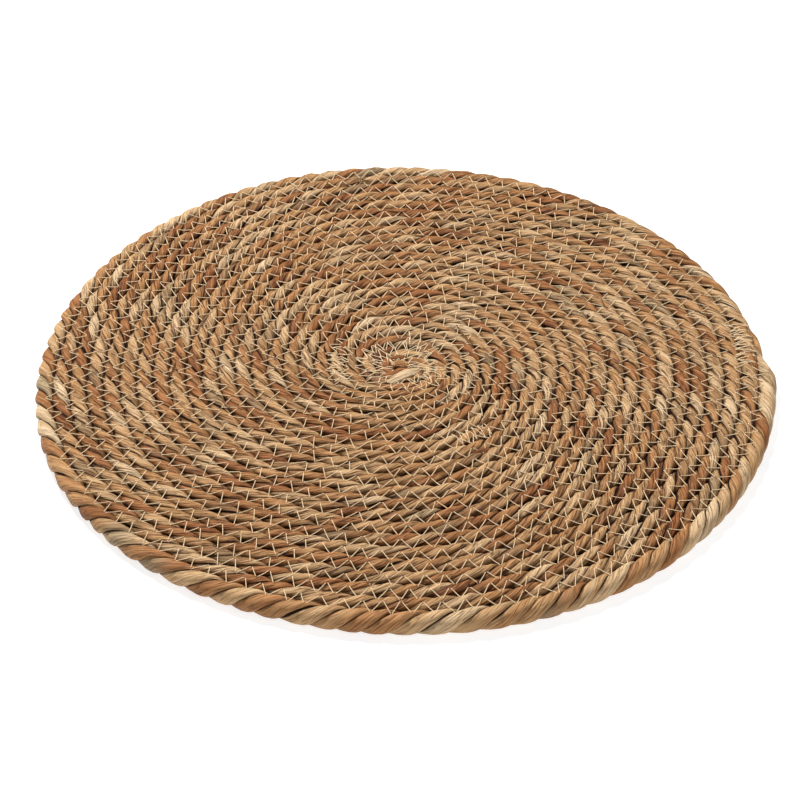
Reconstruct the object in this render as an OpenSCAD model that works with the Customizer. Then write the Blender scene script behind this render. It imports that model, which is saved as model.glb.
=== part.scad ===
// Round braided seat pad. One long three-strand plait stands on edge, is wound
// into a flat spiral from the middle outwards, and is sewn turn to turn with a
// zigzag thread on the top and another on the underside.
// Origin: middle of the underside. +Z is up, out of the sitting face.

/* [Pad] */
// Size across the finished pad
pad_d = 380; // [280:5:500]
// Thickness of the pad, which is the height of the plait stood on edge
pad_h = 11.5; // [8:0.5:18]
// Whole turns of plait from the middle to the rim
turns = 22; // [16:1:28]

/* [Plait] */
// Gap left between one turn and the next
turn_gap = 0.1; // [0.05:0.05:0.4]
// Height of the rounded shoulders that make the valleys between turns
shoulder_h = 2.6; // [1:0.1:3]
// Angle at the rim over which the loose end of the plait tapers away
tail_angle = 9; // [7:1:20]

/* [Sewing] */
// Thickness of the sewing thread
thread_d = 0.5; // [0.3:0.05:0.7]
// Length along the seam of one whole zigzag where an end is tacked down
tack_len = 2.8; // [2.4:0.1:4]
// Clearance between the sewing and the ridge of the plait beside it
ridge_gap = 0.05; // [0.03:0.01:0.1]

/* [Hidden] */
$fn = 96;

// The spiral is made of half circles. Those above the X axis are centred at
// -centre_x and those below it at +centre_x, so every half circle is half a
// pitch larger than the one before it and joins it squarely.
pitch = (pad_d + turn_gap) / (2 * turns + 1);
centre_x = pitch / 4;
plait_w = pitch - turn_gap;

// The widest half circles reach further to the right and downwards, so the
// spiral is moved by this much to put the middle of the pad at the origin.
to_middle = [-pitch / 4, pitch / 4, 0];

// A low flat ridge runs along the middle of the plait, above and below. The
// sewing lies beside it, level with its top.
ridge_w = pitch / 8;
seam_half = (pitch - ridge_w) / 2 - ridge_gap;
shoulder_w = plait_w * 0.28;
shoulder_steps = 3;

turn_names = [for (i = [1:turns]) str("turn_", i < 10 ? "0" : "", i)];
thread_names = ["needle_thread", "bobbin_thread", "start_tack", "end_tack"];

// Half of the plait's outline, from the underside's ridge round to the top's
function half_outline() =
    let (
        x0 = plait_w / 2 - shoulder_w,
        turned = [for (i = [0:shoulder_steps]) 90 * i / shoulder_steps],
        corner = [for (a = turned) [x0 + shoulder_w * sin(a), shoulder_h * (1 - cos(a))]]
    )
    concat(
        [[ridge_w / 2, 0], [ridge_w / 2, thread_d]],
        [for (p = corner) [p[0], thread_d + p[1]]],
        [for (p = reversed(corner)) [p[0], pad_h - thread_d - p[1]]],
        [[ridge_w / 2, pad_h - thread_d], [ridge_w / 2, pad_h]]
    );

function reversed(points) = [for (i = [len(points) - 1:-1:0]) points[i]];

function mirrored(points) = [for (p = reversed(points)) [-p[0], p[1]]];

function is_lower(k) = k % 2 == 0;

function half_circle_centre(k) = is_lower(k) ? centre_x : -centre_x;

// Half circle k of the spiral, swept with the 2D outline given as its child.
// The outline's X = 0 follows the half circle, and angle may cover less of it.
module sweep_half_circle(k, angle = 180) {
    translate([half_circle_centre(k), 0, 0])
        rotate([0, 0, is_lower(k) ? 180 : 0])
            rotate_extrude(angle = angle) translate([k * pitch / 2, 0]) children();
}

module plait_arc(k, angle = 180) {
    sweep_half_circle(k, angle) polygon(concat(half_outline(), mirrored(half_outline())));
}

// One whole turn of the plait, counted from the middle
module plait_turn(i) {
    color(i % 2 == 0 ? "tan" : "burlywood")
        translate(to_middle) {
            plait_arc(2 * i - 1);
            plait_arc(2 * i);
        }
}

// The folded end that the plait is wound around
module centre_start() {
    half_disc = concat([[0, 0]], half_outline(), [[0, pad_h]]);
    color("wheat")
        translate(to_middle) sweep_half_circle(0) polygon(half_disc);
}

// The loose end at the rim, shaved down by a smaller circle that touches the
// outside of the last turn where the end begins
module tail_end() {
    outer_r = (turns + 0.5) * pitch + plait_w / 2;
    drop = outer_r * (1 - cos(tail_angle));
    shave_r = outer_r / (1 + 0.9 * plait_w / drop);
    color("peru")
        translate(to_middle)
            intersection() {
                plait_arc(2 * turns + 1, tail_angle);
                translate([outer_r - centre_x - shave_r, 0, -1])
                    cylinder(r = shave_r, h = pad_h + 2, $fn = 360);
            }
}

// The strips that the zigzag covers, one over the seam outside every half
// circle of plait, just clear of each other end to end
module seam_strips() {
    translate(to_middle)
        for (k = [1:2 * turns - 2])
            sweep_half_circle(k, 180 * (1 - turn_gap / (PI * (k + 1) * pitch / 2)))
                translate([pitch / 2 - seam_half, 0]) square([2 * seam_half, thread_d]);
}

module needle_thread() {
    color("ivory") translate([0, 0, pad_h - thread_d]) seam_strips();
}

module bobbin_thread() {
    color("ivory") seam_strips();
}

// How far a zigzag swings to each side of the seam, so that the thread's
// outer edge at its points stays within the seam's half width
function zigzag_swing(length) =
    let (
        q = pow(2 * thread_d / length, 2),
        inner = pow(seam_half, 2) - pow(thread_d / 2, 2)
    )
    (seam_half - sqrt(pow(seam_half, 2) - (1 - q) * inner)) / (1 - q);

// A flat zigzag thread along the seam outside half circle k of the plait, for
// the share given of its way
module zigzag_tack(k, share) {
    swing = zigzag_swing(tack_len);
    reach = seam_half - swing;
    seam_r = (k + 1) * pitch / 2;
    legs = 2 * max(1, round(share * PI * seam_r / tack_len));
    start = is_lower(k) ? 180 : 0;
    function at(i, out) = let (
        r = seam_r + (i % 2 == 0 ? -swing : swing) + out,
        a = start + 180 * share * i / legs
    ) [half_circle_centre(k) + r * cos(a), r * sin(a)];
    outer_edge = [for (i = [0:legs]) at(i, reach)];
    inner_edge = [for (i = [legs:-1:0]) at(i, -reach)];
    translate(to_middle)
        linear_extrude(thread_d) polygon(concat(outer_edge, inner_edge));
}

// Close stitches that hold the folded end in the middle
module start_tack() {
    color("floralwhite") translate([0, 0, pad_h - thread_d]) zigzag_tack(0, 1);
}

// Close stitches that hold the loose end at the rim, to where it gets thin
module end_tack() {
    color("floralwhite")
        translate([0, 0, pad_h - thread_d]) zigzag_tack(2 * turns - 1, tail_angle / 180 * 0.6);
}

centre_start();
for (i = [1:turns])
    plait_turn(i);
tail_end();
needle_thread();
bobbin_thread();
start_tack();
end_tack();
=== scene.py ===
import math
import random

import bpy
from mathutils import Matrix, Vector


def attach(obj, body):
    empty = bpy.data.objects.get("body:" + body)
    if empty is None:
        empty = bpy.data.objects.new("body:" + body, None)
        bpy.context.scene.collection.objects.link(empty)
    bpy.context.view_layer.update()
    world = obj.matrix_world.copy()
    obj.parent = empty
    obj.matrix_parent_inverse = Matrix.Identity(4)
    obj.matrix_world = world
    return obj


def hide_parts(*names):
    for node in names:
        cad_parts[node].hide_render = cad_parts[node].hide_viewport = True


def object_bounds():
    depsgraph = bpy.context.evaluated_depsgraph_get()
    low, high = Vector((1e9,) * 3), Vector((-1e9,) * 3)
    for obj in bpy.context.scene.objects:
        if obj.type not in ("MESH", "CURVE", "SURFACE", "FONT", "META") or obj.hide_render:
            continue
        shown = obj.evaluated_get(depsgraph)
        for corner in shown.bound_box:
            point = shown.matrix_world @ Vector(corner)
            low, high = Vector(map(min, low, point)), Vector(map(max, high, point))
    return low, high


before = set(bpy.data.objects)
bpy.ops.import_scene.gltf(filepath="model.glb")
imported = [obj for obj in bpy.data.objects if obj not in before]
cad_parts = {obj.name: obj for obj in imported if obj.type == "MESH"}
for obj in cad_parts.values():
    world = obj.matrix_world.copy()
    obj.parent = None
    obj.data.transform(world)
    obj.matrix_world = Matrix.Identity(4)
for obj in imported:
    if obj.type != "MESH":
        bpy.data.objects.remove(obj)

# ---------------------------------------------------------------- sizes, from the frame
# A round seat pad: one length of braided leaf wound into a flat spiral and sewn
# turn to turn with a zigzag thread on both faces.
# Everything is in metres, in the pad's own frame: the origin is the middle of
# the underside and +Z comes out of the sitting face.

cad_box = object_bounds()
low_corner, high_corner = cad_box
pad_across = high_corner.x - low_corner.x
pad_height = high_corner.z - low_corner.z
turns = sum(1 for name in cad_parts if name.startswith("turn_"))

turn_gap = 0.0001
pitch = (pad_across + turn_gap) / (2 * turns + 1)
half_turn_step = math.pi * pitch / 2     # how much longer each half circle is than the last

# The plait. Three flat strands wrap round each other, one full wrap in plait_cycle.
plait_cycle = 0.0385
leaf_thickness = 0.0054
leaf_reach = 1.20                         # how far half a strand's width goes round the plait, radians
plait_half_width = pitch / 2 + 0.0004
plait_half_height = pad_height / 2 - 0.0001
linger = 0.24                             # how much longer a strand stays up on the outer shoulder
squareness = 0.84                         # 1 is an oval plait, less is pressed squarer
fibre_length = 0.055                      # how long the marks in the leaf are
skin = 0.00005                            # how far the plait stays inside the pad's top and bottom
loose_leaf_skin = 0.00004                 # how far a loose leaf stays inside them
rings_per_cycle = 28
strand_sides = 24
loose_leaf_rings = 24
strand_names = ("a", "b", "c")

# The loose end, which lies against the turn before it
tail_length = 0.036
tail_width = 0.42                         # as a share of the plait
taper_before_end = 0.006                  # the plait starts to get thin this far before its end
taper_after_end = 0.012
tip_length = 0.010
tip_width = 0.4                           # as a share of the tail
tail_pull = pitch * 0.55                  # how far it would be drawn in if it had no width

# How uneven the leaf is
pace_wander = 0.75                        # radians, all three strands together
own_pace_wander = 0.26                    # radians, each strand by itself
fold_wander = 2.4                         # radians that the creases drift round a strand
width_wander = 0.13                       # this one and the next two are shares of the size
thickness_wander = 0.06
plait_wander = 0.035
lobe_tone_spread = 0.32
stretch_tone_spread = 0.16
start_tone_drop = 0.20                    # the first turns are darker
start_hollow = 0.0016                     # and lower
shade_starts = 0.0010                     # painted shade starts this far below the faces
shade_full = 0.0038

# The last turn has no neighbour outside it, so its strands are rounder and smoother
rim_linger_loss = 1.2
rim_smoothness = 0.75
edge_roundness = 0.78
rim_edge_roundness_loss = 0.24
overlap_lean = 0.28                       # how far a strand is tilted over the next one
rim_overlap_gain = 0.08

# The hand that wound it. Each wave of the rim is (waves round it, size, where it leads).
rim_waves = ((0, 0.0017, 0.0), (1, 0.0016, 6.13), (2, 0.0021, 1.72), (4, 0.0008, 1.87))
tail_rise = 0.0028                        # how far the turns beside the tail are pushed out
tail_rise_at = 0.26                       # radians from the X axis
tail_rise_spread = 0.20
start_stretch = 0.2                       # how much longer than wide the first turns are
start_shift = 0.0035                      # how far they lie to the front
start_reach = 40.0                        # more of it keeps both of these nearer the middle

# Leaf edges squeezed low into the seams, coloured all over with painted shade
filling_width = 0.0046
filling_height = 0.0052
filling_rings = 4200

# The sewing
stitch_length = 0.0095
short_stitch_length = 0.0066              # round the middle
stitch_swing = 0.0038
thread_thickness = 0.00044
twist_length = 0.0011                     # one turn of the thread's twist
stitch_slip = 0.22                        # how unevenly the needle goes in, along the seam
stitch_drift = 0.14                       # and across it
thread_reach = 0.0022                     # the thread sinks no lower than this below a face
thread_over_gap = 0.0015                  # its depth where there is no leaf under it
hole_reach = 0.0006                       # it dives into the leaf this close to a needle hole
hole_depth = 0.0010
thread_bedding = 0.35                     # its middle is this share of its thickness above the leaf


def length_to(half_circles):
    """How much plait there is up to the end of that many half circles."""
    return half_turn_step * half_circles * (half_circles + 1) / 2


# ---------------------------------------------------------------- camera

camera_distance = 1.150
camera_elevation = math.radians(38.38)
camera_roll = math.radians(0.86)
camera_lens = 98.8
camera_shift = (-0.0056, -0.0251)

camera = bpy.data.objects.new("camera", bpy.data.cameras.new("camera"))
bpy.context.scene.collection.objects.link(camera)
camera.data.lens = camera_lens
camera.data.sensor_width = 36
camera.data.shift_x, camera.data.shift_y = camera_shift
away = Vector((0, -math.cos(camera_elevation), math.sin(camera_elevation)))
camera.matrix_world = (
    Matrix.Translation(away * camera_distance)
    @ away.to_track_quat("Z", "Y").to_matrix().to_4x4()
    @ Matrix.Rotation(camera_roll, 4, "Z")
)
camera.data.clip_end = 20
bpy.context.scene.camera = camera


# ---------------------------------------------------------------- node wiring

class Value:
    """A number or vector worked out by nodes, so that a formula reads as one."""

    def __init__(self, wiring, socket):
        self.wiring = wiring
        self.socket = socket

    def worked(self, operation, *others, first=None):
        """This value, or first if it is given, and the others through a Math node."""
        node = self.wiring.node("ShaderNodeMath", operation=operation)
        for socket, value in zip(node.inputs, (first if first is not None else self, *others)):
            self.wiring.feed(socket, value)
        return Value(self.wiring, node.outputs[0])

    def __add__(self, other):
        return self.worked("ADD", other)

    def __sub__(self, other):
        return self.worked("SUBTRACT", other)

    def __mul__(self, other):
        return self.worked("MULTIPLY", other)

    def __truediv__(self, other):
        return self.worked("DIVIDE", other)

    def __radd__(self, other):
        return self.worked("ADD", other)

    def __rmul__(self, other):
        return self.worked("MULTIPLY", other)

    def __rsub__(self, other):
        return self.worked("SUBTRACT", self, first=other)


class Wiring:
    """Adds nodes to a tree and joins them up."""

    def __init__(self, tree):
        self.tree = tree

    def node(self, kind, feeds=None, **settings):
        node = self.tree.nodes.new(kind)
        node.location = (180 * (len(self.tree.nodes) % 24), -220 * (len(self.tree.nodes) // 24))
        for name, setting in settings.items():
            setattr(node, name, setting)
        for name, value in (feeds or {}).items():
            self.feed(node.inputs[name], value)
        return node

    def feed(self, socket, value):
        if isinstance(value, Value):
            value = value.socket
        if isinstance(value, bpy.types.NodeSocket):
            self.tree.links.new(value, socket)
        else:
            socket.default_value = value

    def value(self, kind, output, feeds=None, **settings):
        return Value(self, self.node(kind, feeds, **settings).outputs[output])

    def sin(self, x):
        return x.worked("SINE")

    def cos(self, x):
        return x.worked("COSINE")

    def floor(self, x):
        return x.worked("FLOOR")

    def root(self, x):
        return x.worked("SQRT")

    def higher(self, x, y):
        return x.worked("MAXIMUM", y)

    def lower(self, x, y):
        return x.worked("MINIMUM", y)

    def odd(self, x):
        return x.worked("FLOORED_MODULO", 2.0)

    def power(self, x, n):
        return x.worked("POWER", n)

    def exp(self, x):
        return x.worked("EXPONENT")

    def joined(self, x, y, z):
        return self.value("ShaderNodeCombineXYZ", 0, {"X": x, "Y": y, "Z": z})

    def parts(self, vector):
        node = self.node("ShaderNodeSeparateXYZ", {0: vector})
        return [Value(self, out) for out in node.outputs]

    def ramped(self, x, start, end, low=0.0, high=1.0):
        """Smoothly from low to high as x goes from start to end."""
        return self.value("ShaderNodeMapRange", "Result", {
            "Value": x, "From Min": start, "From Max": end, "To Min": low, "To Max": high,
        }, interpolation_type="SMOOTHSTEP")

    def wander(self, along, spacing, seed, detail=1.0):
        """A smooth random value, -1 to 1, that changes over about spacing."""
        noise = self.value("ShaderNodeTexNoise", 0, {
            "W": along / spacing + seed, "Scale": 1.0, "Detail": detail,
        }, noise_dimensions="1D")
        return (noise - 0.5) * 2.6

    def noise(self, vector, scale, detail=2.0, roughness=0.5):
        return self.value("ShaderNodeTexNoise", "Fac", {
            "Vector": vector, "Scale": scale, "Detail": detail, "Roughness": roughness})

    def chance(self, number, seed):
        """A random value, -1 to 1, that is fixed for each whole number."""
        noise = self.value("ShaderNodeTexWhiteNoise", 0, {"W": number * 1.37 + seed},
                           noise_dimensions="1D")
        return noise * 2.0 - 1.0

    def mixed(self, factor, first, second, blend="MIX"):
        """Two colours mixed."""
        return self.node("ShaderNodeMix", {"Factor": factor, 6: first, 7: second},
                         data_type="RGBA", blend_type=blend).outputs[2]

    def keep(self, geometry, name, value, kind="FLOAT"):
        return self.node("GeometryNodeStoreNamedAttribute", {
            "Geometry": geometry, "Name": name, "Value": value,
        }, data_type=kind, domain="POINT").outputs[0]


def new_tree(name, inputs, outputs=(("Geometry", "NodeSocketGeometry"),)):
    """A node tree with named inputs, and each input as a Value."""
    tree = bpy.data.node_groups.new(name, "GeometryNodeTree")
    for label, kind in inputs:
        tree.interface.new_socket(label, in_out="INPUT", socket_type=kind)
    for label, kind in outputs:
        tree.interface.new_socket(label, in_out="OUTPUT", socket_type=kind)
    wiring = Wiring(tree)
    entry = wiring.node("NodeGroupInput")
    return tree, wiring, {label: Value(wiring, entry.outputs[label]) for label, kind in inputs}


def finish_tree(wiring, geometry, material):
    """Ends a tree in Realize Instances and Set Material."""
    real = wiring.node("GeometryNodeRealizeInstances", {"Geometry": geometry})
    painted = wiring.node("GeometryNodeSetMaterial", {
        "Geometry": real.outputs[0], "Material": material})
    wiring.node("NodeGroupOutput", {"Geometry": painted.outputs[0]})


# ---------------------------------------------------------------- the spiral

def make_spiral_group():
    """From a length along the plait to a place on the pad.

    The spiral is half circles, each half a pitch larger than the last, with
    their centres taking turns on two points. Behind is 0 for the plait and 1
    for a seam, which runs half a turn behind a plait of the same size.
    """
    tree, w, given = new_tree("Spiral", (
        ("Along", "NodeSocketFloat"), ("Outwards", "NodeSocketFloat"),
        ("Up", "NodeSocketFloat"), ("Behind", "NodeSocketFloat"),
    ), (("Position", "NodeSocketVector"),))
    steps = given["Along"] / half_turn_step
    half_circle = w.floor((w.root(steps * 8.0 + 1.0) + 1.0) / 2.0)
    share = (steps - half_circle * (half_circle - 1.0) / 2.0) / half_circle
    turned = (half_circle - 1.0 - given["Behind"] + share) * math.pi
    radius = half_circle * (pitch / 2) + given["Outwards"]
    above = w.odd(half_circle - given["Behind"])
    x = radius * w.cos(turned) - pitch / 4 + (0.5 - above) * (pitch / 2)
    y = radius * w.sin(turned) + pitch / 4
    x, y = hand_wound(w, x, y)
    w.node("NodeGroupOutput", {"Position": w.joined(x, y, given["Up"])})
    return tree


def hand_wound(w, x, y):
    """Moves a place a little, as a pad wound by hand is never quite round.

    The rim wanders, and the first turns go round a flat fold, so they are
    longer than they are wide and lie a little towards the front.
    """
    far = w.root(x * x + y * y) / (pad_across / 2)
    angle = y.worked("ARCTAN2", x)
    wander = 0.0
    for waves, size, lead in rim_waves:
        wander = w.cos(angle * waves - lead) * size + wander
    beside_tail = (angle - tail_rise_at) / tail_rise_spread
    wander = wander + w.exp(beside_tail * beside_tail * -1.0) * tail_rise
    grow = 1.0 + w.power(far, 3.0) * wander / (pad_across / 2)
    near = w.exp(far * far * -start_reach)
    return x * grow * (1.0 + near * start_stretch), y * grow - near * start_shift


spiral_group = make_spiral_group()


def place(w, along, outwards, up, behind=0.0):
    """The place on the pad of a length along the plait, through the spiral group."""
    return w.value("GeometryNodeGroup", 0, {
        "Along": along, "Outwards": outwards, "Up": up, "Behind": behind,
    }, node_tree=spiral_group)


# ---------------------------------------------------------------- materials

def new_material(name):
    material = bpy.data.materials.new(name)
    material.use_nodes = True
    wiring = Wiring(material.node_tree)
    return material, wiring, material.node_tree.nodes["Principled BSDF"]


def colour(red, green, blue):
    """A colour given as it looks on a screen, 0 to 255."""
    def straight(c):
        c = c / 255
        return c / 12.92 if c <= 0.04045 else ((c + 0.055) / 1.055) ** 2.4
    return (straight(red), straight(green), straight(blue), 1.0)


def shades(w, factor, stops):
    """A colour ramp through the stops, each (place, colour)."""
    node = w.node("ShaderNodeValToRGB", {"Fac": factor})
    ramp = node.color_ramp
    while len(ramp.elements) < len(stops):
        ramp.elements.new(0.5)
    for element, (at, shade) in zip(ramp.elements, stops):
        element.position = at
        element.color = shade
    return node.outputs["Color"]


leaf_shades = (
    (0.04, colour(112, 66, 36)),
    (0.25, colour(164, 108, 62)),
    (0.48, colour(192, 147, 98)),
    (0.70, colour(212, 178, 134)),
    (0.95, colour(236, 214, 180)),
)
streak_shades = (
    (0.30, colour(112, 74, 46)),
    (0.50, colour(226, 212, 196)),
    (0.72, colour(255, 255, 255)),
)
thread_shades = (
    (0.2, colour(200, 168, 122)),
    (0.5, colour(222, 196, 154)),
    (0.85, colour(238, 218, 184)),
)
aged_leaf = colour(160, 142, 112)
fold_shadow = colour(92, 52, 28)
seam_shadow = colour(60, 30, 15)


def make_leaf_material():
    """Dried water-plant leaf: fibres and folds along the strand, a tone for each lobe.

    The pieces carry what it reads. grain is a place in the straight leaf, tone
    and grey shift its colour, the seam value is 1 down in a seam, where painted shade is laid on,
    crown is 1 along the middle of a strand and less at its edges, where painted shade is laid on too,
    and sleek is 1 on the smoother rim.
    """
    material, w, shader = new_material("dried_leaf")
    grain = w.value("ShaderNodeAttribute", "Vector", attribute_name="grain")
    tone = w.value("ShaderNodeAttribute", "Fac", attribute_name="tone")
    grey = w.value("ShaderNodeAttribute", "Fac", attribute_name="grey")
    # painted shade down in the seams, as the pieces give it
    painted_seam_shade = w.value("ShaderNodeAttribute", "Fac", attribute_name="deep")
    crown = w.value("ShaderNodeAttribute", "Fac", attribute_name="crown")
    sleek = w.value("ShaderNodeAttribute", "Fac", attribute_name="sleek")
    fibres = w.noise(grain, 4.2, 5.0, 0.75)
    folds = w.noise(grain, 2.4, 1.0, 0.5)
    layers = w.noise(grain, 4.4, 0.0, 0.5)
    blotches = w.noise(grain, 1.1, 3.0, 0.6)
    # painted shade also darkens each strand's edges, where it dips under its neighbour
    ragged = crown + (fibres - 0.5) * 0.22
    deep = w.higher(painted_seam_shade, w.ramped(ragged, 0.78 - sleek * 0.08, 0.58 - sleek * 0.03) * 0.97)
    line_width = 0.030
    long_line = w.ramped((folds - 0.5).worked("ABSOLUTE"), 0.0, line_width)
    faint_line = w.ramped((layers - 0.52).worked("ABSOLUTE"), 0.0, line_width) * 0.6 + 0.4
    fold_line = w.lower(long_line, faint_line)
    body = shades(w, tone * 0.85 + blotches * 0.55 + fibres * 0.4 - 0.38, leaf_shades)
    aged = w.mixed(grey, body, aged_leaf)
    streaks = shades(w, fibres, streak_shades)
    streaked = w.mixed(0.9 - sleek * 0.5, aged, streaks, "MULTIPLY")
    line_strength = (1.0 - fold_line) * (0.85 - sleek * 0.45)
    creased = w.mixed(line_strength, streaked, fold_shadow, "MULTIPLY")
    # the painted shade is laid on here, towards the dark seam shadow colour
    inner = w.mixed(deep * 0.98, creased, seam_shadow, "MULTIPLY")
    w.feed(shader.inputs["Base Color"], inner)
    w.feed(shader.inputs["Roughness"], 0.50 + fibres * 0.2 + deep * 0.3)
    height = fibres * 0.45 + fold_line * 0.5 + folds * 0.7
    bump = w.node("ShaderNodeBump", {"Height": height, "Strength": 1.0, "Distance": 0.0009})
    w.feed(shader.inputs["Normal"], bump.outputs[0])
    shader.inputs["Specular IOR Level"].default_value = 0.2
    return material


def make_thread_material():
    """Pale sewing thread with its twist."""
    material, w, shader = new_material("sewing_thread")
    twist = w.value("ShaderNodeAttribute", "Fac", attribute_name="twist")
    ply = w.sin(twist)
    fuzz = w.value("ShaderNodeTexNoise", "Fac", {
        "Vector": w.node("ShaderNodeTexCoord").outputs["Object"], "Scale": 900.0})
    shade = shades(w, fuzz * 0.5 + ply * 0.2 + 0.3, thread_shades)
    w.feed(shader.inputs["Base Color"], shade)
    shader.inputs["Roughness"].default_value = 0.7
    bump = w.node("ShaderNodeBump", {"Height": ply, "Strength": 0.4, "Distance": 0.0001})
    w.feed(shader.inputs["Normal"], bump.outputs[0])
    return material


dried_leaf = make_leaf_material()
sewing_thread = make_thread_material()


# ---------------------------------------------------------------- growing pieces from trees

def grown(name, tree, **inputs):
    """The plain mesh that a tree makes with those inputs, as an object."""
    seed_object = bpy.data.objects.new(name + "_seed", bpy.data.meshes.new(name + "_seed"))
    bpy.context.scene.collection.objects.link(seed_object)
    modifier = seed_object.modifiers.new("grow", "NODES")
    modifier.node_group = tree
    sockets = {item.name: item.identifier for item in tree.interface.items_tree
               if item.in_out == "INPUT"}
    for label, value in inputs.items():
        modifier[sockets[label.replace("_", " ").capitalize()]] = value
    evaluated = seed_object.evaluated_get(bpy.context.evaluated_depsgraph_get())
    mesh = bpy.data.meshes.new_from_object(evaluated)
    mesh.name = name
    seed_mesh = seed_object.data
    bpy.data.objects.remove(seed_object)
    bpy.data.meshes.remove(seed_mesh)
    piece = bpy.data.objects.new(name, mesh)
    bpy.context.scene.collection.objects.link(piece)
    return piece


# ---------------------------------------------------------------- strands of the plait

def make_strand_tree():
    """One strand of the plait over a stretch of the spiral."""
    tree, w, given = new_tree("Plait strand", (
        ("From", "NodeSocketFloat"), ("To", "NodeSocketFloat"),
        ("Strand", "NodeSocketFloat"), ("Cycle", "NodeSocketFloat"),
        ("Leaf reach", "NodeSocketFloat"), ("Leaf thickness", "NodeSocketFloat"),
        ("Half width", "NodeSocketFloat"), ("Half height", "NodeSocketFloat"),
        ("Squareness", "NodeSocketFloat"), ("Linger", "NodeSocketFloat"),
        ("Taper from", "NodeSocketFloat"), ("Taper to", "NodeSocketFloat"),
        ("Rings", "NodeSocketInt"), ("Sides", "NodeSocketInt"),
    ))
    tube = w.node("GeometryNodeMeshCylinder", {
        "Vertices": given["Sides"], "Side Segments": given["Rings"],
        "Radius": 1.0, "Depth": 1.0}, fill_type="NGON")
    px, py, pz = w.parts(w.value("GeometryNodeInputPosition", 0))
    along = given["From"] + (pz + 0.5) * (given["To"] - given["From"])
    round_leaf = py.worked("ARCTAN2", px)
    strand = given["Strand"]

    # where the strand is on its way round the plait
    pace = w.wander(along, spacing=0.08, seed=3.0) * pace_wander
    own_pace = w.wander(along, spacing=0.035, seed=strand * 11.0 + 40.0) * own_pace_wander
    phase = (along / given["Cycle"] + strand / 3.0) * math.tau + pace + own_pace
    last_turn = w.ramped(along, length_to(2 * turns - 2), length_to(2 * turns - 1))
    from_shoulder = phase + math.pi / 4
    linger_here = given["Linger"] * (1.0 - last_turn * rim_linger_loss)
    turned = phase - w.sin(from_shoulder) * linger_here
    spread = 1.0 - w.cos(from_shoulder) * linger_here

    # its section is a leaf bent round the plait: wide, thick in the middle, thin at its edges
    outer_bias = round_leaf + w.cos(round_leaf) * 0.35
    fold = w.wander(along, spacing=0.04, seed=strand * 13.0 + 2.0) * fold_wander
    crease = (
        w.sin(outer_bias * 8.0 + fold * 2.0) * 0.05
        + w.sin(outer_bias * 11.0 - fold * 3.0 + strand) * 0.04
        + w.sin(outer_bias * 4.0 + fold * 1.5) * 0.05
    ) * (1.0 - last_turn * rim_smoothness)
    fat = 1.0 + w.wander(along, spacing=0.016, seed=strand * 3.0 + 5.0) * width_wander
    reach = given["Leaf reach"] * fat * spread
    thick_wander = w.wander(along, spacing=0.018, seed=strand * 9.0) * thickness_wander
    thick = given["Leaf thickness"] * (1.0 + thick_wander)
    round_plait = turned + w.cos(outer_bias) * reach
    roundness = edge_roundness - last_turn * rim_edge_roundness_loss
    outer_face = w.power(w.higher(w.sin(outer_bias), 0.0001), roundness)
    lens = outer_face + w.lower(w.sin(outer_bias), 0.0)
    overlap = w.cos(outer_bias) * (overlap_lean + last_turn * rim_overlap_gain)
    bulge = w.higher(lens * (1.0 - overlap), -0.45)
    inwards = thick * 0.5 * (1.0 - bulge * (1.0 + crease))

    def squared(value):
        """Presses the round of the plait towards a square."""
        return w.power(value.worked("ABSOLUTE"), given["Squareness"]) * value.worked("SIGN")

    plait_fat = 1.0 + w.wander(along, spacing=0.03, seed=77.0) * plait_wander
    in_plait = squared(w.sin(round_plait)) * -1.0 * (given["Half width"] * plait_fat - inwards)
    over_plait = squared(w.cos(round_plait)) * (given["Half height"] - inwards)

    # the loose end gets thin and is pulled in against the turn before it
    thin = w.ramped(along, given["Taper from"], given["Taper to"], 1.0, tail_width)
    tip = length_to(2 * turns) + tail_length
    thin = thin * w.ramped(along, tip - tip_length, tip, 1.0, tip_width)
    pull = (1.0 - thin) * -tail_pull
    outwards = in_plait * thin + pull
    upwards = over_plait * (0.25 + thin * 0.75)
    in_middle = 1.0 - w.ramped(along, length_to(3), length_to(6))
    limit = pad_height / 2 - skin - in_middle * start_hollow
    upwards = w.higher(w.lower(upwards, limit), skin - pad_height / 2)

    # what the material reads, worked out while the tube is still straight
    across_leaf = w.cos(outer_bias) * 1.2 + strand * 9.0 + fold * 0.15
    grain = w.joined(across_leaf, w.sin(outer_bias), along / fibre_length)
    lobe = w.floor(phase / math.tau + 0.5)
    lobe_tone = w.chance(lobe, strand * 51.0) * lobe_tone_spread
    stretch_tone = w.wander(along, spacing=0.10, seed=strand * 23.0) * stretch_tone_spread
    tone = lobe_tone + stretch_tone - in_middle * start_tone_drop
    greying = w.wander(along, spacing=0.07, seed=strand * 31.0 + 70.0, detail=2.0)
    grey = w.ramped(greying, 0.2, 0.8, 0.0, 0.8)
    # painted shade: the leaf is darkened down between the turns, where the next turn shades it, but
    # not on the outside of the last turns
    in_last_turns = w.ramped(along, length_to(2 * turns - 3), length_to(2 * turns - 2))
    on_outside = w.ramped(in_plait, -0.001, 0.001)
    below_face = pad_height / 2 - over_plait.worked("ABSOLUTE")
    between_turns = w.ramped(below_face, shade_starts, shade_full)
    deep = between_turns * (1.0 - in_last_turns * on_outside)
    kept = w.keep(tube.outputs["Mesh"], "grain", grain, "FLOAT_VECTOR")
    kept = w.keep(kept, "tone", tone + 0.5)
    kept = w.keep(kept, "grey", grey)
    kept = w.keep(kept, "deep", deep)
    kept = w.keep(kept, "crown", bulge)
    kept = w.keep(kept, "sleek", last_turn)
    position = place(w, along, outwards, upwards + pad_height / 2)
    shaped = w.node("GeometryNodeSetPosition", {"Geometry": kept, "Position": position}).outputs[0]
    smooth = w.node("GeometryNodeSetShadeSmooth", {"Geometry": shaped}).outputs[0]
    finish_tree(w, smooth, dried_leaf)
    return tree


strand_tree = make_strand_tree()


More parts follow.
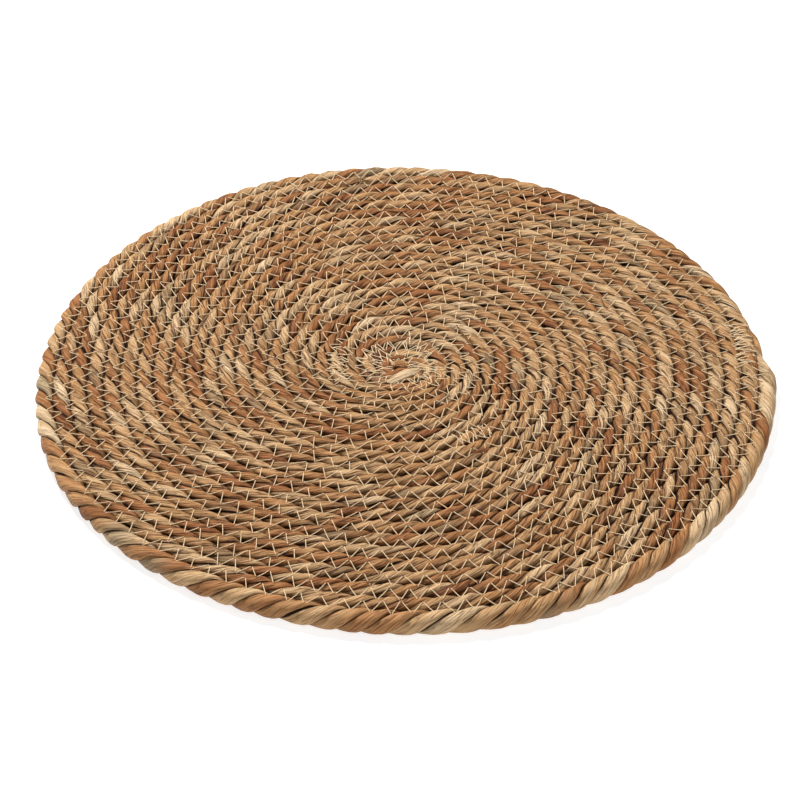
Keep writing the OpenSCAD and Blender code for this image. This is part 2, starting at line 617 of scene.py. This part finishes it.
def make_strand(name, number, start, end):
    """One of the three strands, from one length along the plait to another."""
    plait_end = length_to(2 * turns)
    return grown(
        name, strand_tree,
        **{"from": start}, to=end, strand=float(number), cycle=plait_cycle,
        leaf_reach=leaf_reach, leaf_thickness=leaf_thickness,
        half_width=plait_half_width, half_height=plait_half_height, squareness=squareness,
        linger=linger,
        taper_from=plait_end - taper_before_end, taper_to=plait_end + taper_after_end,
        rings=max(12, round((end - start) / plait_cycle * rings_per_cycle)),
        sides=strand_sides,
    )


plait_pieces = {}
for turn in range(1, turns + 1):
    node = f"turn_{turn:02d}"
    for number, letter in enumerate(strand_names):
        piece = make_strand(f"{node}_strand_{letter}", number,
                            length_to(2 * turn - 2), length_to(2 * turn))
        plait_pieces[piece] = node
for number, letter in enumerate(strand_names):
    piece = make_strand(f"tail_end_strand_{letter}", number,
                        length_to(2 * turns), length_to(2 * turns) + tail_length)
    plait_pieces[piece] = "tail_end"

for piece, node in plait_pieces.items():
    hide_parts(node)
    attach(piece, "root")


# ---------------------------------------------------------------- filling of the seams

def make_filling_tree():
    """Leaf edges squeezed into the seam between two turns, coloured all over with painted shade."""
    tree, w, given = new_tree("Seam filling", (
        ("From", "NodeSocketFloat"), ("To", "NodeSocketFloat"),
        ("Width", "NodeSocketFloat"), ("Height", "NodeSocketFloat"), ("Rings", "NodeSocketInt"),
    ))
    tube = w.node("GeometryNodeMeshCylinder", {
        "Vertices": 8, "Side Segments": given["Rings"], "Radius": 1.0, "Depth": 1.0},
        fill_type="NGON")
    px, py, pz = w.parts(w.value("GeometryNodeInputPosition", 0))
    along = given["From"] + (pz + 0.5) * (given["To"] - given["From"])
    outwards = px * -0.5 * given["Width"] * (1.0 + w.wander(along, spacing=0.008, seed=3.5) * 0.4)
    upwards = py * 0.5 * given["Height"] + w.wander(along, spacing=0.011, seed=8.5) * 0.0008
    grain = w.joined(px * 1.5, py, along / fibre_length)
    kept = w.keep(tube.outputs["Mesh"], "grain", grain, "FLOAT_VECTOR")
    kept = w.keep(kept, "tone", 0.35 + w.wander(along, spacing=0.03, seed=5.5) * 0.2)
    # the whole filling gets full painted shade
    kept = w.keep(kept, "deep", 1.0)
    position = place(w, along, outwards, upwards + pad_height / 2, 1.0)
    shaped = w.node("GeometryNodeSetPosition", {"Geometry": kept, "Position": position}).outputs[0]
    smooth = w.node("GeometryNodeSetShadeSmooth", {"Geometry": shaped}).outputs[0]
    finish_tree(w, smooth, dried_leaf)
    return tree


filling = grown(
    "seam_filling", make_filling_tree(),
    **{"from": length_to(1)}, to=length_to(2 * turns - 1),
    width=filling_width, height=filling_height, rings=filling_rings,
)
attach(filling, "root")


# ---------------------------------------------------------------- sewing

def make_sewing_tree():
    """A zigzag thread over the seams, drawn tight over the plait."""
    tree, w, given = new_tree("Zigzag sewing", (
        ("From", "NodeSocketFloat"), ("To", "NodeSocketFloat"),
        ("Stitch length", "NodeSocketFloat"), ("Swing", "NodeSocketFloat"),
        ("Thickness", "NodeSocketFloat"), ("Seed", "NodeSocketFloat"),
        ("Face", "NodeSocketFloat"), ("Behind", "NodeSocketFloat"), ("Aside", "NodeSocketFloat"),
        ("Plait", "NodeSocketCollection"),
    ))
    points_per_leg = 8
    legs = w.floor((given["To"] - given["From"]) / given["Stitch length"] * 2.0 + 0.5)
    leg_length = (given["To"] - given["From"]) / legs
    line = w.node("GeometryNodeMeshLine", {
        "Count": legs * float(points_per_leg) + 1.0}, count_mode="TOTAL", mode="OFFSET")
    index = w.value("GeometryNodeInputIndex", 0)
    leg = w.floor(index / float(points_per_leg))
    share = index / float(points_per_leg) - leg

    def point_of_zigzag(number):
        """Where the needle went in, with the small errors of sewing by eye."""
        near_side = w.odd(number) * 2.0 - 1.0
        slip = w.chance(number, given["Seed"]) * stitch_slip
        drift = w.chance(number, given["Seed"] + 300.5) * stitch_drift
        along = given["From"] + leg_length * (number + slip)
        outwards = given["Swing"] * (near_side * (1.0 + drift)) + given["Aside"]
        return place(w, along, outwards, 0.0, given["Behind"])

    x0, y0, _ = w.parts(point_of_zigzag(leg))
    x1, y1, _ = w.parts(point_of_zigzag(leg + 1.0))
    x = x0 + (x1 - x0) * share
    y = y0 + (y1 - y0) * share

    # the height of the plait under the thread, found by looking at it from outside
    plait = w.node("GeometryNodeCollectionInfo", {"Collection": given["Plait"]})
    solid_plait = w.node("GeometryNodeRealizeInstances", {"Geometry": plait.outputs[0]})
    clear_of_pad = 0.04
    outside = given["Face"] * clear_of_pad + pad_height / 2
    seen = w.node("GeometryNodeRaycast", {
        "Target Geometry": solid_plait.outputs[0],
        "Source Position": w.joined(x, y, outside),
        "Ray Direction": w.joined(0.0, 0.0, given["Face"] * -1.0),
        "Ray Length": clear_of_pad * 2})
    hit = Value(w, seen.outputs["Is Hit"])
    hit_height = w.parts(seen.outputs["Hit Position"])[2]
    level = (hit_height - pad_height / 2) * given["Face"]
    on_leaf = w.higher(level, pad_height / 2 - thread_reach) * hit
    over_gap = (1.0 - hit) * (pad_height / 2 - thread_over_gap)
    level = on_leaf + over_gap
    flat = w.node("GeometryNodeSetPosition", {
        "Geometry": line.outputs[0], "Position": w.joined(x, y, level)}).outputs[0]

    # pulled tight: smoothed again and again, but never below the leaf under it
    here = w.parts(w.value("GeometryNodeInputPosition", 0))[2]
    level = here
    for rounds, give in ((14, 0.0), (10, 0.0), (6, 0.0001)):
        smooth = w.value("GeometryNodeBlurAttribute", 0, {0: level, "Iterations": rounds},
                         data_type="FLOAT")
        level = w.higher(here - give, smooth)
    level = w.value("GeometryNodeBlurAttribute", 0, {0: level, "Iterations": 1}, data_type="FLOAT")
    from_hole = w.lower(share, 1.0 - share) * leg_length
    dip = w.ramped(from_hole, 0.0, hole_reach, hole_depth, 0.0)
    level = level + given["Thickness"] * thread_bedding - dip
    level = w.lower(level, pad_height / 2 - given["Thickness"] / 2.0)
    up = pad_height / 2 + given["Face"] * level
    flat_x, flat_y, _ = w.parts(w.value("GeometryNodeInputPosition", 0))
    laid = w.node("GeometryNodeSetPosition", {
        "Geometry": flat, "Position": w.joined(flat_x, flat_y, up)}).outputs[0]
    curve = w.node("GeometryNodeMeshToCurve", {"Mesh": laid}).outputs[0]
    turned = w.value("GeometryNodeSplineParameter", "Length") * (math.tau / twist_length)
    curve = w.keep(curve, "twist", turned)
    profile = w.node("GeometryNodeCurvePrimitiveCircle", {
        "Resolution": 5, "Radius": given["Thickness"] / 2.0}, mode="RADIUS")
    thread = w.node("GeometryNodeCurveToMesh", {
        "Curve": curve, "Profile Curve": profile.outputs[0], "Fill Caps": True}).outputs[0]
    smooth_thread = w.node("GeometryNodeSetShadeSmooth", {"Geometry": thread}).outputs[0]
    finish_tree(w, smooth_thread, sewing_thread)
    return tree


plait_collection = bpy.data.collections.new("plait")
bpy.context.scene.collection.children.link(plait_collection)
for piece in plait_pieces:
    plait_collection.objects.link(piece)

sewing_tree = make_sewing_tree()


def make_sewing(name, start, end, face, seed, stitch=stitch_length, swing=stitch_swing, behind=1,
                thickness=thread_thickness, aside=0.0):
    """Sewing on one face, over a seam or, when behind is 0, over the plait itself."""
    piece = grown(
        name, sewing_tree,
        **{"from": start}, to=end, stitch_length=stitch, swing=swing, aside=aside,
        thickness=thickness, seed=float(seed), face=float(face), behind=float(behind),
        plait=plait_collection,
    )
    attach(piece, "root")
    return piece


def along_at(x, y):
    """How far along the plait a place on the pad is."""
    angle = math.atan2(y - pitch / 4, x) % math.tau
    steps_out = math.hypot(x, y - pitch / 4) / (pitch / 2)
    if angle < math.pi:
        half_circle = 2 * round((steps_out - 1) / 2) + 1
    else:
        half_circle = 2 * round(steps_out / 2)
    return length_to(half_circle - 1) + (angle / math.pi) % 1 * half_circle * half_turn_step


def make_tack(name, x, y, length, seed, stitch, swing, thickness=thread_thickness, aside=0.0):
    """Close stitches over one place, where an end or a repair is held down."""
    middle = along_at(x, y)
    return make_sewing(name, middle - length / 2, middle + length / 2, 1, seed, stitch, swing, 0,
                       thickness, aside)


# the seams in stretches, with shorter stitches round the middle
seams = 2 * turns - 1
stretches = (
    ("inner", 2, 9, short_stitch_length),
    ("middle", 10, 30, stitch_length),
    ("outer", 31, seams, stitch_length),
)
for number, (part, first, last, stitch) in enumerate(stretches):
    for face, node in ((1, "needle_thread"), (-1, "bobbin_thread")):
        piece = make_sewing(f"{node}_{part}", length_to(first - 1), length_to(last), face,
                            5 + 6 * number + 3 * face, stitch)
        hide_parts(node)

start_stitches = (
    make_sewing("start_tack_stitches", 0.006, length_to(4), 1, 29, 0.0058, 0.0034, 0),
    make_sewing("start_tack_crossing", 0.010, length_to(4), 1, 37, 0.0064, 0.0030, 1),
)
for piece in start_stitches:
    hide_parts("start_tack")
end_stitches = make_tack("end_tack_stitches", 0.178, 0.021, 0.034, 31, stitch=0.0043,
                         swing=0.0052, thickness=0.00062, aside=-0.0012)
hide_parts("end_tack")

# places where a seam was sewn over again: name, x, y, length, seed, stitch, swing
repair_tacks = (
    ("repair_tack_left", -0.0335, 0.000, 0.030, 47, 0.0050, 0.0052),
    ("repair_tack_front", 0.0357, -0.0574, 0.020, 59, 0.0040, 0.0050),
    ("repair_tack_back", 0.012, 0.020, 0.018, 61, 0.0044, 0.0040),
)
for repair in repair_tacks:
    make_tack(*repair)


# ---------------------------------------------------------------- loose leaves

def make_loose_leaf_tree():
    """A single leaf with two thin ends, lying from one place to another."""
    tree, w, given = new_tree("Loose leaf", (
        ("Start", "NodeSocketVector"), ("End", "NodeSocketVector"), ("Bow", "NodeSocketFloat"),
        ("Arch", "NodeSocketFloat"), ("Width", "NodeSocketFloat"),
        ("Thickness", "NodeSocketFloat"), ("Tone", "NodeSocketFloat"), ("Seed", "NodeSocketFloat"),
        ("Rings", "NodeSocketInt"), ("Sides", "NodeSocketInt"),
    ))
    tube = w.node("GeometryNodeMeshCylinder", {
        "Vertices": given["Sides"], "Side Segments": given["Rings"],
        "Radius": 1.0, "Depth": 1.0}, fill_type="NGON")
    px, py, pz = w.parts(w.value("GeometryNodeInputPosition", 0))
    share = pz + 0.5
    round_leaf = py.worked("ARCTAN2", px)
    x0, y0, z0 = w.parts(given["Start"])
    x1, y1, z1 = w.parts(given["End"])
    length = w.root((x1 - x0) * (x1 - x0) + (y1 - y0) * (y1 - y0))
    belly = w.sin(share * math.pi)
    full = w.power(w.higher(belly, 0.01), 0.6)
    wrinkle = w.wander(share * length, spacing=0.006, seed=given["Seed"]) * 0.1
    fold = w.wander(share * length, spacing=0.02, seed=given["Seed"] + 8.0) * 2.0
    ridges = w.sin(round_leaf * 5.0 + fold) * 0.06 + w.sin(round_leaf * 7.0 - fold) * 0.05
    swell = (1.0 + wrinkle + ridges) * full
    across = w.cos(round_leaf) * given["Width"] / 2.0 * swell + given["Bow"] * belly
    through = w.sin(round_leaf) * given["Thickness"] / 2.0 * swell + given["Arch"] * belly
    x = x0 + (x1 - x0) * share - (y1 - y0) / length * across
    y = y0 + (y1 - y0) * share + (x1 - x0) / length * across
    z = w.lower(z0 + (z1 - z0) * share + through, pad_height - loose_leaf_skin)
    along_leaf = share * length / fibre_length
    grain = w.joined(w.cos(round_leaf) + given["Seed"], w.sin(round_leaf), along_leaf)
    kept = w.keep(tube.outputs["Mesh"], "grain", grain, "FLOAT_VECTOR")
    kept = w.keep(kept, "tone", given["Tone"])
    kept = w.keep(kept, "crown", 1.0)
    shaped = w.node("GeometryNodeSetPosition", {
        "Geometry": kept, "Position": w.joined(x, y, z)}).outputs[0]
    smooth = w.node("GeometryNodeSetShadeSmooth", {"Geometry": shaped}).outputs[0]
    finish_tree(w, smooth, dried_leaf)
    return tree


loose_leaf_tree = make_loose_leaf_tree()


def make_loose_leaf(name, start, end, width, thickness, tone, bow=0.0, arch=0.0, node=None,
                    sides=16):
    """A leaf between two places, with sizes in millimetres."""
    seed = sum(ord(letter) for letter in name) % 97
    piece = grown(
        name, loose_leaf_tree,
        start=[c / 1000 for c in start], end=[c / 1000 for c in end],
        bow=bow / 1000, arch=arch / 1000, width=width / 1000, thickness=thickness / 1000,
        tone=tone, seed=float(seed), rings=loose_leaf_rings, sides=sides,
    )
    if node:
        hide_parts(node)
    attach(piece, "root")
    return piece


# the folded start of the plait: name, start, end, width, thickness, tone, bow
start_leaves = (
    ("start_fold_core", (-7.5, -3.0, 5.2), (8.5, -4.0, 5.2), 9.0, 9.6, 0.2, 0.0),
    ("start_fold_left", (-12.0, 3.0, 7.8), (4.0, 7.0, 8.2), 5.6, 5.2, 0.12, 1.6),
    ("start_fold_right", (0.0, 4.0, 8.0), (15.0, 1.0, 7.6), 5.8, 5.4, 0.26, 1.5),
    ("start_fold_front", (-14.0, -9.0, 7.8), (-1.0, -4.0, 8.6), 5.6, 5.0, 0.22, -1.2),
    ("start_pale_leaf", (-9.5, -15.5, 9.4), (9.0, -2.2, 9.7), 6.4, 3.6, 0.98, 0.4),
)
for name, start, end, width, thickness, tone, bow in start_leaves:
    make_loose_leaf(name, start, end, width, thickness, tone, bow, node="centre_start")
make_loose_leaf("splice_leaf_a", (32.0, -71.0, 8.6), (49.0, -67.5, 8.8), 5.6, 5.0, 0.02, 0.8)
make_loose_leaf("splice_leaf_b", (36.0, -66.5, 9.0), (47.0, -72.0, 8.8), 4.2, 4.6, 0.10, -0.8)


def make_slivers(count):
    """Thin splinters of leaf that have come loose and lie along the turns."""
    pick = random.Random(11)
    for number in range(1, count + 1):
        angle = pick.uniform(0, math.tau)
        radius = pick.uniform(35, 172)
        half_length = pick.uniform(5, 11)
        heading = angle + math.pi / 2 + pick.uniform(-0.35, 0.35)
        x = radius * math.cos(angle)
        y = radius * math.sin(angle)
        dx = half_length * math.cos(heading)
        dy = half_length * math.sin(heading)
        make_loose_leaf(f"sliver_{number:02d}", (x - dx, y - dy, 11.25), (x + dx, y + dy, 11.35),
                        width=pick.uniform(0.8, 1.5), thickness=0.6,
                        tone=pick.uniform(0.0, 1.0), bow=pick.uniform(-1.8, 1.8), arch=0.1,
                        sides=8)


make_slivers(18)


# ---------------------------------------------------------------- floor and light

floor_size = 40
floor_grey = 0.45
floor_glow = 0.78
room_light = 0.28


def make_floor():
    """A plain pale floor, which glows a little so that it stays pale."""
    bpy.ops.mesh.primitive_plane_add(size=floor_size, location=(0, 0, 0))
    floor = bpy.context.object
    floor.name = "floor"
    material, w, shader = new_material("pale_floor")
    shader.inputs["Base Color"].default_value = (floor_grey, floor_grey, floor_grey, 1)
    shader.inputs["Roughness"].default_value = 0.9
    shader.inputs["Emission Color"].default_value = (1, 1, 1, 1)
    shader.inputs["Emission Strength"].default_value = floor_glow
    floor.data.materials.append(material)


def add_soft_light(name, place_at, size, power):
    """A round soft light aimed at the pad."""
    light = bpy.data.lights.new(name, "AREA")
    light.shape = "DISK"
    light.size = size
    light.energy = power
    lamp = bpy.data.objects.new(name, light)
    bpy.context.scene.collection.objects.link(lamp)
    lamp.location = place_at
    lamp.rotation_euler = (-Vector(place_at)).to_track_quat("-Z", "Y").to_euler()


make_floor()
add_soft_light("key", (-0.55, 0.75, 1.65), 0.45, 54)
add_soft_light("fill", (1.2, -1.0, 1.3), 1.4, 6)
world = bpy.data.worlds.new("soft_room")
bpy.context.scene.world = world
world.use_nodes = True
sky = world.node_tree.nodes["Background"]
sky.inputs["Color"].default_value = (1, 1, 1, 1)
sky.inputs["Strength"].default_value = room_light
bpy.context.scene.view_settings.view_transform = "Standard"
